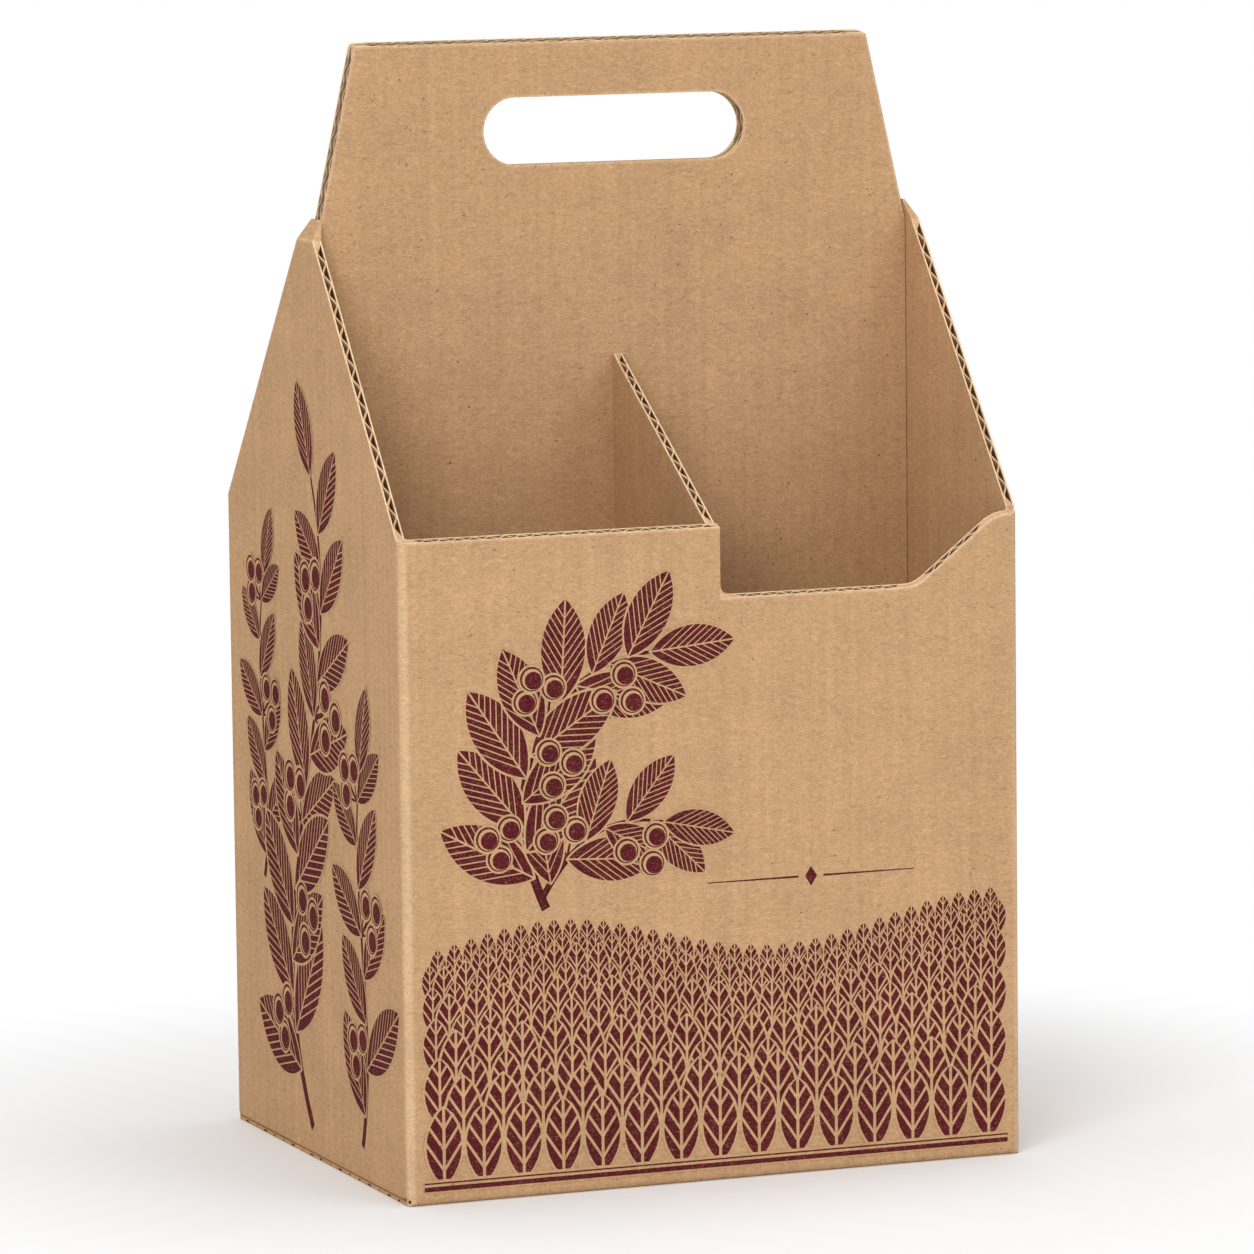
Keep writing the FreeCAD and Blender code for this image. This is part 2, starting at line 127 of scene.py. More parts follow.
class NodeBench:
    """Places and joins the nodes of one node tree."""

    def __init__(self, tree: NodeTree) -> None:
        """Keeps the tree to work on.

        Args:
            tree: The node tree of a material or a group.
        """
        self.tree = tree

    def node(self, kind: str, **settings: object) -> Node:
        """Adds a node.

        Args:
            kind: The node's type name.
            settings: Attributes to set on the node.

        Returns:
            The new node.
        """
        made = self.tree.nodes.new(kind)
        for name, setting in settings.items():
            setattr(made, name, setting)
        return made

    def feed(self, socket: NodeSocket, value: Value) -> None:
        """Links a socket to another one, or sets its own value.

        Args:
            socket: The input to feed.
            value: A socket, number, vector or colour.
        """
        if isinstance(value, NodeSocket):
            self.tree.links.new(value, socket)
        else:
            socket.default_value = value

    def number(self, operation: str, *values: Value) -> NodeSocket:
        """Adds a Math node.

        Args:
            operation: The name of the operation.
            values: What goes in.

        Returns:
            The result's socket.
        """
        made = self.node("ShaderNodeMath", operation=operation)
        for socket, value in zip(made.inputs, values):
            self.feed(socket, value)
        return made.outputs[0]

    def span(self, value: Value, low: float, high: float) -> NodeSocket:
        """Smooth step of a value from 0 at low to 1 at high.

        Args:
            value: The value that changes.
            low: Where the step starts.
            high: Where the step ends.

        Returns:
            The step's socket.
        """
        made = self.node("ShaderNodeMapRange", interpolation_type="SMOOTHSTEP")
        for name, entry in (("Value", value), ("From Min", low), ("From Max", high)):
            self.feed(made.inputs[name], entry)
        return made.outputs["Result"]

    def fall(self, value: Value, low: float, high: float) -> NodeSocket:
        """Smooth step of a value from 1 at low to 0 at high.

        Args:
            value: The value that changes.
            low: Where the step starts.
            high: Where the step ends.

        Returns:
            The step's socket.
        """
        return self.number("SUBTRACT", 1.0, self.span(value, low, high))

    def beyond(self, value: Value, limit: Value) -> NodeSocket:
        """How far a value lies past a limit, and zero before it.

        Args:
            value: The value that changes.
            limit: The limit.

        Returns:
            The distance's socket.
        """
        return self.number("MAXIMUM", self.number("SUBTRACT", value, limit), 0.0)

    def squares(self, first: Value, second: Value) -> NodeSocket:
        """Sum of the squares of two values.

        Args:
            first: The first value.
            second: The second value.

        Returns:
            The sum's socket.
        """
        return self.number("MULTIPLY_ADD", first, first, self.number("MULTIPLY", second, second))

    def inside(self, value: Value, low: float, high: float) -> NodeSocket:
        """One where a value lies between two limits, and zero elsewhere.

        Args:
            value: The value that changes.
            low: The lower limit.
            high: The upper limit.

        Returns:
            The mask's socket.
        """
        above = self.number("GREATER_THAN", value, low)
        return self.number("MULTIPLY", above, self.number("LESS_THAN", value, high))

    def both(self, *masks: Value) -> NodeSocket:
        """Product of several masks and shares.

        Args:
            masks: The masks and shares to multiply.

        Returns:
            The product's socket.
        """
        product = masks[0]
        for mask in masks[1:]:
            product = self.number("MULTIPLY", product, mask)
        return product

    def mix(self, factor: Value, first: Value, second: Value) -> NodeSocket:
        """Mixes two colours.

        Args:
            factor: The share of the second colour.
            first: The first colour.
            second: The second colour.

        Returns:
            The mixed colour's socket.
        """
        made = self.node("ShaderNodeMix", data_type="RGBA")
        for place, value in ((MIX_FACTOR, factor), (MIX_FIRST, first), (MIX_SECOND, second)):
            self.feed(made.inputs[place], value)
        return made.outputs[MIX_RESULT]

    def shade(self, colour: Value, factor: Value) -> NodeSocket:
        """Multiplies a colour by a number.

        Args:
            colour: The colour to shade.
            factor: The number to multiply by.

        Returns:
            The shaded colour's socket.
        """
        made = self.node("ShaderNodeVectorMath", operation="SCALE")
        self.feed(made.inputs[0], colour[:3] if isinstance(colour, tuple) else colour)
        self.feed(made.inputs["Scale"], factor)
        return made.outputs[0]

    def noise(
        self, place: Value, scale: tuple[float, float, float], detail: float,
        rough: float = 0.5, bend: float = 0.0,
    ) -> NodeSocket:
        """Adds a noise with its own stretch along each axis.

        Args:
            place: The position that the noise is read at.
            scale: Waves for each millimetre along X, Y and Z.
            detail: The number of finer layers.
            rough: The weight of the finer layers.
            bend: How much the pattern is distorted.

        Returns:
            The noise's factor socket.
        """
        stretch = self.node("ShaderNodeVectorMath", operation="MULTIPLY")
        self.feed(stretch.inputs[0], place)
        self.feed(stretch.inputs[1], scale)
        made = self.node("ShaderNodeTexNoise")
        self.feed(made.inputs["Vector"], stretch.outputs[0])
        for name, value in (("Scale", 1.0), ("Detail", detail), ("Roughness", rough), ("Distortion", bend)):
            made.inputs[name].default_value = value
        return made.outputs["Fac"]

    def millimetres(self) -> tuple[NodeSocket, ...]:
        """Place on the object in millimetres.

        Returns:
            The whole vector's socket, and those of X, Y and Z.
        """
        place = self.node("ShaderNodeTexCoord").outputs["Object"]
        scaled = self.node("ShaderNodeVectorMath", operation="SCALE")
        self.feed(scaled.inputs[0], place)
        scaled.inputs["Scale"].default_value = 1.0 / MM
        parts = self.node("ShaderNodeSeparateXYZ")
        self.feed(parts.inputs[0], scaled.outputs[0])
        return scaled.outputs[0], parts.outputs[0], parts.outputs[1], parts.outputs[2]


class EffectGroup:
    """A shader node group that several finishes share."""

    name: str = "effect"
    inputs: dict[str, str] = {}
    outputs: dict[str, str] = {}

    def __init__(self) -> None:
        """Builds the group once."""
        self.tree = bpy.data.node_groups.new(self.name, "ShaderNodeTree")
        for way, sockets in (("INPUT", self.inputs), ("OUTPUT", self.outputs)):
            for label, kind in sockets.items():
                self.tree.interface.new_socket(label, in_out=way, socket_type=kind)
        bench = NodeBench(self.tree)
        entry = bench.node("NodeGroupInput").outputs
        leaving = bench.node("NodeGroupOutput").inputs
        for label, socket in self.fill(bench, entry).items():
            bench.feed(leaving[label], socket)

    def fill(self, bench: NodeBench, entry: NodeOutputs) -> dict[str, NodeSocket]:
        """Places the group's nodes.

        Args:
            bench: The bench of the group's tree.
            entry: The sockets of the group's inputs.

        Returns:
            A socket for each output.
        """
        raise NotImplementedError

    def place(self, bench: NodeBench, **values: Value) -> NodeOutputs:
        """Places the group in a material.

        Args:
            bench: The bench of the material's tree.
            values: Values for the group's inputs, with _ for a space in a name.

        Returns:
            The group node's outputs.
        """
        made = bench.node("ShaderNodeGroup")
        made.node_tree = self.tree
        for label, value in values.items():
            bench.feed(made.inputs[label.replace("_", " ")], value)
        return made.outputs


class PaperFibre(EffectGroup):
    """Fibres, clouds and dark flecks of unbleached paper."""

    name = "paper_fibre"
    inputs = {"Place": "NodeSocketVector", "Flute Along": "NodeSocketFloat", "Contrast": "NodeSocketFloat"}
    outputs = {"Tone": "NodeSocketFloat", "Fleck": "NodeSocketFloat", "Height": "NodeSocketFloat"}
    flute_pitch: float = 4.2
    # Tone swing of the flutes' washboard, a painted shade of its ripples
    flute_shade_tone: float = 0.006
    pale_tone: float = 0.13
    dark_tone: float = -0.16
    grain_height: float = 0.5
    pale_height: float = 0.35
    flute_height: float = 0.12

    def strokes(self, bench: NodeBench, place: Value, shift: float, spread: float) -> NodeSocket:
        """Places short curly strokes that lie mostly level.

        Args:
            bench: The bench of the group's tree.
            place: The position in millimetres.
            shift: Moves the pattern, so that two sets differ.
            spread: The strokes' half width against the noise.

        Returns:
            The strokes' mask.
        """
        moved = bench.node("ShaderNodeVectorMath", operation="ADD")
        bench.feed(moved.inputs[0], place)
        moved.inputs[1].default_value = (shift, 0.7 * shift, 1.3 * shift)
        wave = bench.noise(moved.outputs[0], (0.3, 0.3, 0.8), 2.0, 0.55, 1.0)
        near = bench.number("ABSOLUTE", bench.number("SUBTRACT", wave, 0.5))
        line = bench.fall(near, spread * 0.3, spread)
        short = bench.span(bench.noise(moved.outputs[0], (0.45, 0.45, 0.5), 1.0), 0.46, 0.6)
        return bench.number("MULTIPLY", line, short)

    def fill(self, bench: NodeBench, entry: NodeOutputs) -> dict[str, NodeSocket]:
        """Places curly fibres, fine grain, clouds, a faint washboard and flecks; the washboard is a bump and
        also painted shade in the tone.
        """
        place = entry["Place"]
        fibre = bench.noise(place, (0.42, 0.42, 1.25), 3.0, 0.62, 1.4)
        pale, dark = self.strokes(bench, place, 0.0, 0.035), self.strokes(bench, place, 37.0, 0.03)
        grain = bench.noise(place, (2.4, 2.4, 3.4), 2.0, 0.6)
        cloud = bench.noise(place, (0.035, 0.035, 0.05), 3.0, 0.55)
        streak = bench.noise(place, (0.3, 0.3, 0.006), 1.0)
        turns = bench.number("MULTIPLY", entry["Flute Along"], 2.0 * math.pi / self.flute_pitch)
        flute = bench.number("SINE", turns)
        parts = ((fibre, 0.38), (grain, 0.32), (cloud, 0.12), (streak, 0.1))
        total: Value = 0.0
        for noise, weight in parts:
            centred = bench.number("SUBTRACT", noise, 0.5)
            total = bench.number("MULTIPLY_ADD", centred, weight * 2.0, total)
        # The flute term paints the washboard's faint shade into the tone; the pale and dark strokes are
        # fibres
        for part, weight in ((flute, self.flute_shade_tone), (pale, self.pale_tone), (dark, self.dark_tone)):
            total = bench.number("MULTIPLY_ADD", part, weight, total)
        tone = bench.number("MULTIPLY_ADD", total, entry["Contrast"], 1.0)
        speck = bench.noise(place, (0.75, 0.75, 1.1), 1.0, 0.5, 0.6)
        sparse = bench.span(bench.noise(place, (0.12, 0.12, 0.12), 1.0), 0.4, 0.62)
        fleck = bench.number("MULTIPLY", bench.span(speck, 0.7, 0.77), sparse)
        reliefs = ((grain, self.grain_height), (pale, self.pale_height), (flute, self.flute_height))
        height = fibre
        for part, weight in reliefs:
            height = bench.number("MULTIPLY_ADD", part, weight, height)
        return {"Tone": tone, "Fleck": fleck, "Height": height}


class CutEdge(EffectGroup):
    """Cut edge of corrugated board: pale liners, a darker middle and painted shade in the hollows below the
    cut.
    """

    name = "cut_edge"
    inputs = {
        "Across": "NodeSocketFloat",
        "Depth": "NodeSocketFloat",
        "Tone": "NodeSocketFloat",
        "Liner Colour": "NodeSocketColor",
        "Middle Colour": "NodeSocketColor",
        "Hollow Colour": "NodeSocketColor",
    }
    outputs = {"Colour": "NodeSocketColor", "Mask": "NodeSocketFloat"}
    board: float = 3.0
    liner: float = 0.5
    hollow_from: float = 0.14
    darkest_at: float = 1.4
    mouth_shade: float = 0.45

    def fill(self, bench: NodeBench, entry: NodeOutputs) -> dict[str, NodeSocket]:
        """Tells liner, middle and hollow apart by the place across the board and below the cut, with painted
        shade in the hollow that darkens with depth.
        """
        far = bench.number("SUBTRACT", self.board, entry["Across"])
        near = bench.number("MINIMUM", entry["Across"], far)
        on_edge = bench.number("GREATER_THAN", near, FACE_SKIN)
        middle = bench.number("GREATER_THAN", near, self.liner)
        below = bench.number("GREATER_THAN", entry["Depth"], self.hollow_from)
        colour = bench.mix(middle, entry["Liner Colour"], entry["Middle Colour"])
        colour = bench.shade(colour, entry["Tone"])
        # Painted shade in the hollows: the middle colour darkened at the cut, going to the hollow colour
        # deeper down
        dim = bench.span(entry["Depth"], 0.0, self.darkest_at)
        mouth = bench.shade(entry["Middle Colour"], self.mouth_shade)
        hollow_shade = bench.mix(dim, mouth, entry["Hollow Colour"])
        colour = bench.mix(below, colour, hollow_shade)
        return {"Colour": colour, "Mask": on_edge}


@dataclass(frozen=True)
class PaperSurface:
    """Dull surface over the paper's fibres, which the boards and the ink share."""

    roughness: float
    pale_polish: float
    bump_strength: float
    bump_distance: float
    specular: float = 0.02

    def apply(self, bench: NodeBench, colour: Value, paper: NodeOutputs) -> None:
        """Feeds the shader of a material.

        Args:
            bench: The bench of the material's tree.
            colour: The surface's colour.
            paper: The outputs of the fibre group.
        """
        shader = bench.tree.nodes["Principled BSDF"]
        bench.feed(shader.inputs["Base Color"], colour)
        dullest = self.roughness + self.pale_polish
        roughness = bench.number("MULTIPLY_ADD", paper["Tone"], -self.pale_polish, dullest)
        bench.feed(shader.inputs["Roughness"], roughness)
        shader.inputs["Specular IOR Level"].default_value = self.specular
        bump = bench.node("ShaderNodeBump")
        bump.inputs["Strength"].default_value = self.bump_strength
        bump.inputs["Distance"].default_value = self.bump_distance
        bench.feed(bump.inputs["Height"], paper["Height"])
        bench.feed(shader.inputs["Normal"], bump.outputs["Normal"])


@dataclass(frozen=True)
class BoardColours:
    """Colours of one board, linear."""

    face: Colour
    fleck: Colour = (0.2, 0.095, 0.04, 1.0)
    # Painted highlight along folds, creases and the faces beside cut edges
    painted_highlight: Colour = (0.75, 0.52, 0.32, 1.0)
    liner: Colour = (0.8, 0.58, 0.36, 1.0)
    middle: Colour = (0.6, 0.39, 0.23, 1.0)
    # Painted shade deep in the flutes' hollows below a cut
    hollow_shade: Colour = (0.19, 0.09, 0.042, 1.0)


@dataclass(frozen=True)
class BoardFinish:
    """Kraft board with fibres, painted highlights along creases and edges, and cut edges with painted shade
    in their hollows; each board says where its edges are.
    """

    name: str
    colours: BoardColours
    fibre: PaperFibre
    edge: CutEdge
    contrast: float = 1.0
    surface: PaperSurface = PaperSurface(0.86, 0.12, bump_strength=0.35, bump_distance=0.00025)
    # Fade and share of the painted highlight on the face beside a cut edge
    arris_highlight_fade: tuple[float, float] = (0.2, 1.1)
    arris_highlight_share: float = 0.5

    def fields(self, bench: NodeBench, x: Value, y: Value, z: Value) -> Fields:
        """Where the board's edges and creases are.

        Args:
            bench: The bench of the material's tree.
            x: Place along X in millimetres.
            y: Place along Y in millimetres.
            z: Place along Z in millimetres.

        Returns:
            Place across the board, depth below the cut, where the edge counts, and the mask of the painted
            highlight along creases and edges.
        """
        raise NotImplementedError

    def material(self) -> Material:
        """Builds the material.

        Returns:
            The finished material.
        """
        made = bpy.data.materials.new(self.name)
        made.use_nodes = True
        bench = NodeBench(made.node_tree)
        place, x, y, z = bench.millimetres()
        along = bench.number("ADD", x, y)
        paper = self.fibre.place(bench, Place=place, Flute_Along=along, Contrast=self.contrast)
        across, depth, counts, painted_highlight = self.fields(bench, x, y, z)
        colour = bench.shade(self.colours.face, paper["Tone"])
        colour = bench.mix(paper["Fleck"], colour, self.colours.fleck)
        # Painted highlight along folds, creases and the faces beside cut edges
        colour = bench.mix(painted_highlight, colour, bench.shade(self.colours.painted_highlight, paper["Tone"]))
        cut = self.edge.place(
            bench, Across=across, Depth=depth, Tone=paper["Tone"], Liner_Colour=self.colours.liner,
            Middle_Colour=self.colours.middle, Hollow_Colour=self.colours.hollow_shade,
        )
        # Cut edges, with painted shade in their hollows
        colour = bench.mix(bench.number("MULTIPLY", cut["Mask"], counts), colour, cut["Colour"])
        self.surface.apply(bench, colour, paper)
        return made


@dataclass(frozen=True)
class OuterBoard(BoardFinish):
    """Finish of the folded outer sheet."""

    half_width: float = 105.0
    half_depth: float = 84.0
    board: float = 3.0
    corner: float = 3.6
    edge_drop: float = 1.0
    wall_top: float = 209.0
    shoulder: float = 297.0
    shoulder_half: float = 7.5
    window_left: float = 2.0
    window_bottom: float = 186.5
    window_right_top: float = 208.2
    window_flat_end: float = 69.23
    window_slope: float = 38.0
    window_lower_blend: float = 3.66
    window_upper_blend: float = 5.1
    window_behind: float = 0.62
    roll_radius: float = 0.6
    cuts_from: float = 120.0
    cuts_past: float = 0.05
    seam_across: tuple[float, float] = (-101.6, -100.7)
    seam_behind: float = 83.0
    nick_height: tuple[float, float] = (0.27, 0.93)
    nick_across: tuple[float, float] = (101.9, 104.56)
    nick_end: float = 79.0
    # Painted highlights along the corner folds, the shoulder creases and the faces beside the top cuts
    fold_highlight_fade: tuple[float, float] = (0.4, 2.1)
    crease_highlight_half: tuple[float, float] = (0.1, 0.9)
    crease_highlight_side: float = 1.2
    crease_highlight_share: float = 0.6
    arris_highlight_fade: tuple[float, float] = (0.2, 1.0)
    arris_highlight_share: float = 0.55

    def cut_level(self, bench: NodeBench, x: Value, y: Value, deep: Value) -> Value:
        """Height of the cut above each point of the walls.

        Args:
            bench: The bench of the material's tree.
            x: Place along X.
            y: Place along Y.
            deep: Distance from the middle along Y.

        Returns:
            The height's socket.
        """
        slope = (self.shoulder - self.wall_top) / (self.half_depth - self.board - self.shoulder_half)
        inner = self.half_depth - self.board
        gable = bench.number("MULTIPLY_ADD", bench.number("SUBTRACT", inner, deep), slope, self.wall_top)
        gable = bench.number("MINIMUM", bench.number("MAXIMUM", gable, self.wall_top), self.shoulder)
        rise = math.tan(math.radians(self.window_slope))
        past_flat = bench.number("SUBTRACT", x, self.window_flat_end)
        ramp = bench.number("MULTIPLY_ADD", past_flat, rise, self.window_bottom)
        ramp = bench.number("SMOOTH_MAX", ramp, self.window_bottom, self.window_lower_blend)
        ramp = bench.number("SMOOTH_MIN", ramp, self.window_right_top, self.window_upper_blend)
        right_of = bench.number("GREATER_THAN", x, self.window_left)
        in_wall = bench.number("LESS_THAN", y, self.window_behind - inner)
        in_window = bench.both(right_of, in_wall)
        drop = bench.number("MULTIPLY", in_window, bench.number("SUBTRACT", ramp, gable))
        lean = bench.beyond(deep, inner)
        level = bench.number("ADD", gable, drop)
        return bench.number("MULTIPLY_ADD", lean, -self.edge_drop / self.board, level)

    def fields(self, bench: NodeBench, x: Value, y: Value, z: Value) -> Fields:
        """Edges of the wall tops, window, gables, seam and bottom folds; painted highlights along the corner
        folds, the shoulder creases and the faces beside the top cuts.
        """
        wide = bench.number("ABSOLUTE", x)
        deep = bench.number("ABSOLUTE", y)
        along_x = bench.beyond(wide, self.half_width - self.corner)
        along_y = bench.beyond(deep, self.half_depth - self.corner)
        outward = bench.number("SQRT", bench.squares(along_x, along_y))
        across = bench.number("SUBTRACT", self.corner, outward)
        depth = bench.number("SUBTRACT", self.cut_level(bench, x, y, deep), z)
        top = bench.inside(z, self.cuts_from, self.shoulder + self.cuts_past)
        behind = bench.number("GREATER_THAN", y, self.seam_behind)
        seam = bench.both(bench.inside(x, *self.seam_across), behind)
        lift = bench.number("SUBTRACT", z, self.board / 2.0)
        out = bench.number("SUBTRACT", deep, self.half_depth - self.board / 2.0)
        roll = bench.number("LESS_THAN", bench.squares(lift, out), self.roll_radius**2)
        nick = bench.both(
            bench.inside(z, *self.nick_height), bench.inside(wide, *self.nick_across),
            bench.number("LESS_THAN", deep, self.nick_end),
        )
        # Where these count, the cut-edge colour lies far below the cut, so the seam, the rolled fold ends and
        # the nicks get the hollows' painted shade
        counts = top
        for edge in (seam, roll, nick):
            counts = bench.number("MAXIMUM", counts, edge)
        # Painted highlight along the rounded corner folds and along the shoulder creases near the side walls
        fold_highlight = bench.span(bench.number("MINIMUM", along_x, along_y), *self.fold_highlight_fade)
        at_shoulder = bench.number("ABSOLUTE", bench.number("SUBTRACT", z, self.shoulder))
        side = bench.number("GREATER_THAN", wide, self.half_width - self.crease_highlight_side)
        painted_highlight = bench.number("MAXIMUM", fold_highlight, bench.both(bench.fall(at_shoulder, *self.crease_highlight_half), side))
        painted_highlight = bench.number("MULTIPLY", painted_highlight, self.crease_highlight_share)
        on_face = bench.number("LESS_THAN", across, FACE_SKIN)
        # Painted highlight on the face just below the top cuts
        arris_highlight = bench.both(bench.fall(depth, *self.arris_highlight_fade), on_face, top, self.arris_highlight_share)
        return across, depth, counts, bench.number("MAXIMUM", painted_highlight, arris_highlight)


@dataclass(frozen=True)
class PanelBoard(BoardFinish):
    """Finish of the two plies of the handle panel."""

    middle: float = 1.6
    board: float = 3.0
    top: float = 359.0
    edge_drop: float = 1.2
    shoulder: float = 297.0
    half_width: float = 101.7
    top_half: float = 88.0
    corner: float = 2.0
    grip_straight: float = 34.2
    grip_centre: float = 329.6
    grip_radius: float = 10.8
    glued_liner: float = 0.55
    # Extra depth below the cut that paints shade on the glued inner liners
    inner_liner_shade: float = 0.5

    def fields(self, bench: NodeBench, x: Value, y: Value, z: Value) -> Fields:
        """Edges round each ply and round the hand hole, with a painted highlight beside them above the
        shoulder and painted shade on the two inner liners where the plies are glued.
        """
        wide = bench.number("ABSOLUTE", x)
        off = bench.number("SUBTRACT", bench.number("ABSOLUTE", y), self.middle)
        across = bench.number("ADD", off, self.board / 2.0)
        lean = (self.half_width - self.top_half) / (self.top - self.shoulder)
        limit = bench.number("MULTIPLY_ADD", bench.beyond(z, self.shoulder), -lean, self.half_width)
        side = bench.number("MULTIPLY", bench.number("SUBTRACT", limit, wide), math.cos(math.atan(lean)))
        half_thickness = self.middle + self.board / 2.0
        behind = bench.number("SUBTRACT", half_thickness, y)
        level = bench.number("MULTIPLY_ADD", behind, -self.edge_drop / (2.0 * half_thickness), self.top)
        under = bench.number("SUBTRACT", level, z)
        corner = bench.squares(bench.beyond(self.corner, side), bench.beyond(self.corner, under))
        outline = bench.number("SUBTRACT", self.corner, bench.number("SQRT", corner))
        rise = bench.number("SUBTRACT", z, self.grip_centre)
        from_grip = bench.number("SQRT", bench.squares(bench.beyond(wide, self.grip_straight), rise))
        grip = bench.number("SUBTRACT", from_grip, self.grip_radius)
        depth = bench.number("MINIMUM", outline, grip)
        above = bench.number("GREATER_THAN", z, self.shoulder)
        # Painted highlight on the faces beside the panel's edges above the shoulder
        arris_highlight = bench.both(bench.fall(depth, *self.arris_highlight_fade), above, self.arris_highlight_share)
        # Painted shade on the two glued inner liners: they take the middle colour and sink into the hollows'
        # shade
        shaded_liners = bench.number("LESS_THAN", across, self.glued_liner)
        shown = bench.number("MAXIMUM", across, self.glued_liner)
        depth = bench.number("MULTIPLY_ADD", shaded_liners, self.inner_liner_shade, depth)
        return shown, depth, 1.0, arris_highlight


@dataclass(frozen=True)
class DividerBoard(BoardFinish):
    """Finish of the divider."""

    board: float = 3.0
    wall_top: float = 209.0
    top: float = 257.0
    half_depth: float = 80.7
    slot_half: float = 3.35

    def fields(self, bench: NodeBench, x: Value, y: Value, z: Value) -> Fields:
        """Edges along the two sloping tops, with a painted highlight on the faces beside them."""
        across = bench.number("ADD", x, self.board / 2.0)
        slope = (self.top - self.wall_top) / (self.half_depth - self.slot_half)
        inward = bench.number("SUBTRACT", self.half_depth, bench.number("ABSOLUTE", y))
        level = bench.number("MULTIPLY_ADD", inward, slope, self.wall_top)
        depth = bench.number("SUBTRACT", level, z)
        # Painted highlight on the faces beside the sloping tops
        arris_highlight = bench.both(bench.fall(depth, *self.arris_highlight_fade), self.arris_highlight_share)
        return across, depth, 1.0, arris_highlight


@dataclass(frozen=True)
class InkFinish:
    """Burgundy printing ink that lets the paper's fibres show through."""

    fibre: PaperFibre
    ink: Colour = (0.105, 0.0135, 0.018, 1.0)
    paper: Colour = (0.52, 0.32, 0.17, 1.0)
    show_through: float = 0.5
    worn_from: tuple[float, float] = (0.52, 0.8)
    contrast: float = 1.6
    surface: PaperSurface = PaperSurface(0.7, 0.15, bump_strength=0.3, bump_distance=0.0002)

    def material(self) -> Material:
        """Builds the material.

        Returns:
            The finished material.
        """
        made = bpy.data.materials.new("burgundy_ink")
        made.use_nodes = True
        bench = NodeBench(made.node_tree)
        place, x, y, _ = bench.millimetres()
        along = bench.number("ADD", x, y)
        paper = self.fibre.place(bench, Place=place, Flute_Along=along, Contrast=self.contrast)
        thin = bench.noise(place, (1.1, 1.1, 1.9), 3.0, 0.65, 0.8)
        thin = bench.number("MULTIPLY", bench.span(thin, *self.worn_from), self.show_through)
        colour = bench.mix(thin, bench.shade(self.ink, paper["Tone"]), self.paper)
        self.surface.apply(bench, colour, paper)
        return made


@dataclass(frozen=True)
class FloorFinish:
    """Pale floor that keeps the shadow and fades to the white backdrop."""

    colour: Colour = (0.9, 0.9, 0.905, 1.0)
    near: float = 0.17
    far: float = 0.34
    least: float = 0.06

    def material(self) -> Material:
        """Builds the material.

        Returns:
            The finished material.
        """
        made = bpy.data.materials.new("pale_floor")
        made.use_nodes = True
        tree = made.node_tree
        bench = NodeBench(tree)
        tree.nodes.remove(tree.nodes["Principled BSDF"])
        place = bench.node("ShaderNodeTexCoord").outputs["Object"]
        length = bench.node("ShaderNodeVectorMath", operation="LENGTH")
        bench.feed(length.inputs[0], place)
        fade = bench.span(length.outputs["Value"], self.near, self.far)
        fade = bench.number("MULTIPLY_ADD", fade, 1.0 - self.least, self.least)
        seen = bench.node("ShaderNodeLightPath").outputs["Is Camera Ray"]
        diffuse = bench.node("ShaderNodeBsdfDiffuse")
        diffuse.inputs["Color"].default_value = self.colour
        glow = bench.node("ShaderNodeEmission")
        blend = bench.node("ShaderNodeMixShader")
        bench.feed(blend.inputs[0], bench.number("MULTIPLY", fade, seen))
        bench.feed(blend.inputs[1], diffuse.outputs[0])
        bench.feed(blend.inputs[2], glow.outputs[0])
        bench.feed(tree.nodes["Material Output"].inputs["Surface"], blend.outputs[0])
        return made


@dataclass(frozen=True)
class PrintStock:
    """The ink, and the bare paper that parts one printed shape from the one behind it."""

    ink: Material
    paper: Material
    ink_layer: float = 0.008
    paper_layer: float = 0.006
    step: float = 0.018
    ground: float = 0.006


def thicken(drawing: Object, thickness: float, low: float, material: Material) -> None:
    """Turns a flat drawing into a closed thin layer.

    Args:
        drawing: The flat drawing, which faces one way all over.
        thickness: The layer's thickness in millimetres.
        low: The height of its underside.
        material: The layer's material.
    """
    select_only(drawing)
    if drawing.data.polygons[0].normal.z < 0.0:
        with edit_mode():
            bpy.ops.mesh.flip_normals()
    body = drawing.modifiers.new("layer", "SOLIDIFY")
    body.thickness = thickness * MM
    body.offset = 1.0
    bpy.ops.object.modifier_apply(modifier=body.name)
    drawing.location.z += low * MM
    settle()
    drawing.data.materials.clear()
    drawing.data.materials.append(material)


def join_layers(*layers: Object) -> Object:
    """Joins the layers of one printed shape.

    Args:
        layers: The layers; the first one gives its materials' order.

    Returns:
        The joined object.
    """
    select_only(*layers)
    bpy.ops.object.join()
    return bpy.context.object


def half_lens(length: float, half_width: float, start: float, rib: float, rim: int) -> Object:
    """Cuts the upper half of a pointed leaf shape from a flat disc.

    Args:
        length: From point to point.
        half_width: From the middle line to the rim.
        start: Where its first point lies along X.
        rib: The width left bare along the middle line.
        rim: The number of steps along the rim.

    Returns:
        The half leaf.
    """
    radius = (length**2 / 4.0 + half_width**2) / (2.0 * half_width)
    half_turn = math.asin(length / 2.0 / radius)
    centre = ((start + length / 2.0) * MM, (half_width - radius) * MM, 0.0)
    # A multiple of four keeps the disc the same on all sides
    steps = int(rim * math.pi / half_turn / 4.0) * 4
    bpy.ops.object.select_all(action="DESELECT")
    bpy.ops.mesh.primitive_circle_add(vertices=steps, radius=radius * MM, fill_type="NGON", location=centre)
    half = bpy.context.object
    settle()
    with edit_mode():
        bpy.ops.mesh.bisect(plane_co=(0.0, rib / 2.0 * MM, 0.0), plane_no=(0.0, 1.0, 0.0), clear_inner=True)
    return half


